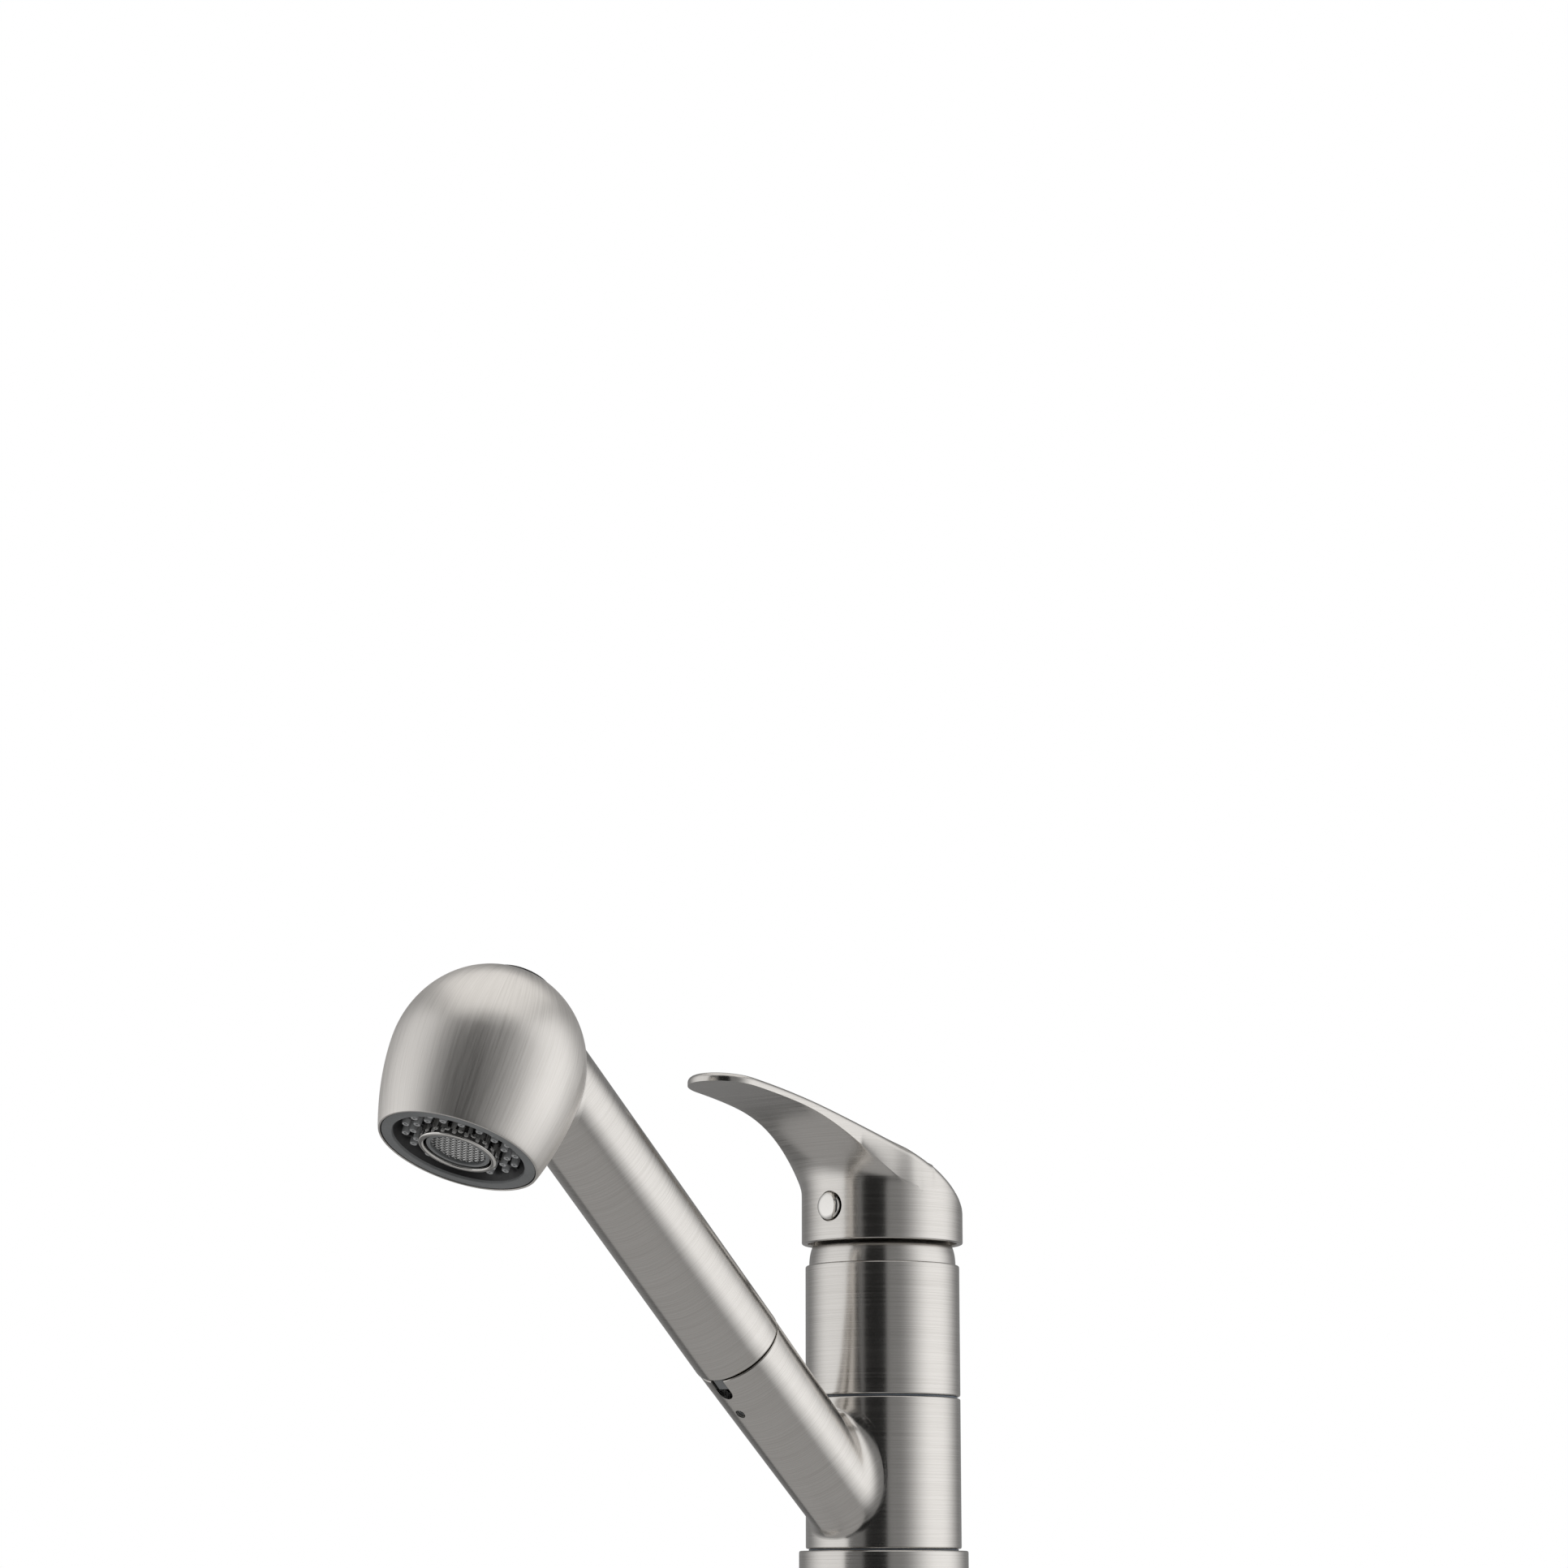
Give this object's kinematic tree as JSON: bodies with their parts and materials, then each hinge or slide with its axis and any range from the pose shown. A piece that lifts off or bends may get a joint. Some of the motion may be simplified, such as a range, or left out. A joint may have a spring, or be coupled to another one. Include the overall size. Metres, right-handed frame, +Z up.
{
  "type": "kitchen faucet",
  "caption": "Single-lever kitchen faucet with a round swivelling body, a slanted socket and a pull-out spray wand with a ball-shaped head.",
  "frame": {"origin": "centre of the deck hole, in the plane of the base gasket's underside", "axes": "+Z up along the body's axis, away from the deck; -Y towards the spray head at rest; +X across, to the right when the spray face is seen from behind the body"},
  "size_m": [0.0562, 0.231, 0.2384],
  "materials": {
    "brushed_nickel": "fine brushed satin nickel",
    "chrome": "polished",
    "brass": "plain machined",
    "copper": "drawn tube",
    "steel": "plain",
    "black_plastic": "matte",
    "grey_plastic": "matte",
    "white_plastic": "matte",
    "rubber": "matte",
    "ceramic": "polished"
  },
  "bodies": {
    "base": {"base_gasket": "rubber", "base_flange": "brushed_nickel", "lower_glide_ring": "grey_plastic", "upper_glide_ring": "grey_plastic", "centre_column": "brass", "threaded_shank": "brass", "deck_washer_rubber": "rubber", "deck_washer_steel": "steel", "mounting_nut": "brass", "nut_lock_screw_left": "steel", "nut_lock_screw_right": "steel", "hot_supply_tube": "copper", "cold_supply_tube": "copper", "mixed_water_tube": "copper", "upper_body": "brushed_nickel", "valve_seat": "brass", "port_seal": "rubber", "cartridge_base": "white_plastic", "fixed_ceramic_disc": "ceramic", "cartridge_housing": "white_plastic", "cartridge_nut": "brass", "dome_collar": "brushed_nickel"},
    "swivel": {"swivel_body": "brushed_nickel", "socket_liner": "grey_plastic", "liner_screw": "steel", "hose_guide_bush": "black_plastic"},
    "wand": {"wand_grip": "brushed_nickel", "wand_spigot": "grey_plastic", "spigot_o_ring": "rubber", "alignment_key": "grey_plastic", "inlet_nipple": "brass", "inlet_strainer": "steel", "check_valve_body": "white_plastic", "waterway_tube": "white_plastic", "head_shell": "brushed_nickel", "face_ring": "grey_plastic", "nozzle_plate": "black_plastic", "nozzle_mat": "rubber", "aerator_collar": "chrome", "aerator_cage": "grey_plastic", "aerator_screen": "steel", "spray_chamber": "grey_plastic", "button_spring": "steel"},
    "mode_button": {"mode_button": "rubber", "diverter_spool": "white_plastic"},
    "check_poppet": {"check_valve_poppet": "black_plastic"},
    "cartridge_rotor": {"cartridge_rotor": "white_plastic", "lever_pin": "steel"},
    "lever": {"lever_stem": "steel", "lever_handle": "brushed_nickel", "lever_set_screw": "steel", "index_plug": "chrome"},
    "moving_disc": {"sliding_ceramic_disc": "ceramic", "disc_carrier": "grey_plastic"}
  },
  "joints": [
    {"name": "spout_swivel", "type": "hinge", "parent": "base", "child": "swivel", "pos_m": [0, 0, 0], "axis": [0, 0, 1], "range_deg": [-60, 60]},
    {"name": "spray_pull_out", "type": "slide", "parent": "swivel", "child": "wand", "axis": [0, -0.7455, 0.6665], "range_m": [0, 0.5]},
    {"name": "mode_button_press", "type": "slide", "parent": "wand", "child": "mode_button", "axis": [0, -0.454, -0.891], "range_m": [0, 0.003], "stiffness_N_per_m": 800, "deforming": ["button_spring"]},
    {"name": "check_valve_lift", "type": "slide", "parent": "wand", "child": "check_poppet", "axis": [0, -0.7455, 0.6665], "range_m": [0, 0.002], "stiffness_N_per_m": 100},
    {"name": "temperature_turn", "type": "hinge", "parent": "base", "child": "cartridge_rotor", "pos_m": [0, 0, 0.088], "axis": [0, 0, 1], "range_deg": [-50, 50]},
    {"name": "flow_lift", "type": "hinge", "parent": "cartridge_rotor", "child": "lever", "pos_m": [0, 0, 0.088], "axis": [-1, 0, 0], "range_deg": [0, 25]},
    {"name": "disc_slide", "type": "slide", "parent": "cartridge_rotor", "child": "moving_disc", "axis": [0, -1, 0], "range_m": [0, 0.004]}
  ],
  "couplings": [
    {"joint": "disc_slide", "follows": "flow_lift", "m_per_rad": 0.0083}
  ]
}
